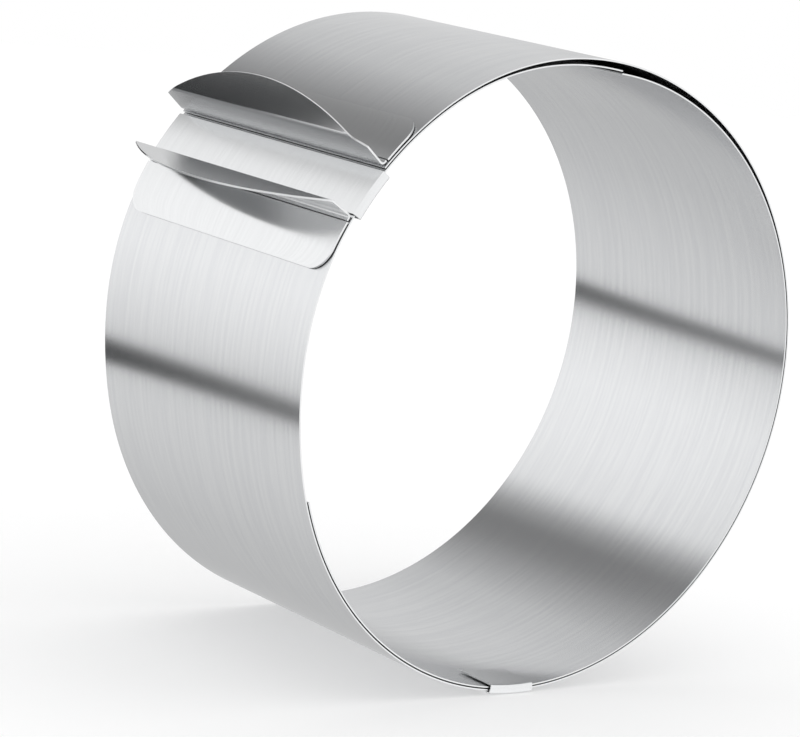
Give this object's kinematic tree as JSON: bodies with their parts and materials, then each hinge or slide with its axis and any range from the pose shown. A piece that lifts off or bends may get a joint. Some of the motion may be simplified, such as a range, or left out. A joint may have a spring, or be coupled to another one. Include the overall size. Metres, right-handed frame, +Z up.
{
  "type": "adjustable cake ring",
  "caption": "Adjustable round cake ring: a coiled stainless strip with a folded clamp sleeve, finger wings that release it, and a guide clip.",
  "frame": {"origin": "under the middle of the part's bounding box, at the level of the lowest folds that it stands on", "axes": "+Z up along the ring's axis, -Y towards the clamp and its finger wings, +X to the right seen from the clamp"},
  "size_m": [0.1602, 0.1782, 0.0864],
  "materials": {
    "strip_steel": "spring-hard stainless strip, brushed lengthwise",
    "clamp_steel": "thin stainless sheet, finely brushed, edges blanked"
  },
  "bodies": {
    "ring": {"outer_strip": "strip_steel", "clamp_sleeve": "clamp_steel", "left_finger_plate": "clamp_steel", "right_finger_plate": "clamp_steel", "guide_clip": "clamp_steel"},
    "inner_turn": {"inner_strip": "strip_steel"},
    "left_wing": {"left_finger_wing": "clamp_steel"},
    "right_wing": {"right_finger_wing": "clamp_steel"}
  },
  "joints": [
    {"name": "size_setting", "type": "hinge", "parent": "ring", "child": "inner_turn", "pos_m": [0.00036, 0.00931, 0.0432], "axis": [0, 0, 1], "range_deg": [0, 315]},
    {"name": "left_squeeze", "type": "hinge", "parent": "ring", "child": "left_wing", "pos_m": [-0.0072, -0.07425, 0.0432], "axis": [0, 0, 1], "range_deg": [0, 8], "stiffness_Nm_per_rad": 1.5},
    {"name": "right_squeeze", "type": "hinge", "parent": "ring", "child": "right_wing", "pos_m": [0.00725, -0.07358, 0.0432], "axis": [0, 0, -1], "range_deg": [0, 8], "stiffness_Nm_per_rad": 1.5}
  ],
  "couplings": [
    {"joint": "right_squeeze", "follows": "left_squeeze", "ratio": 1}
  ]
}
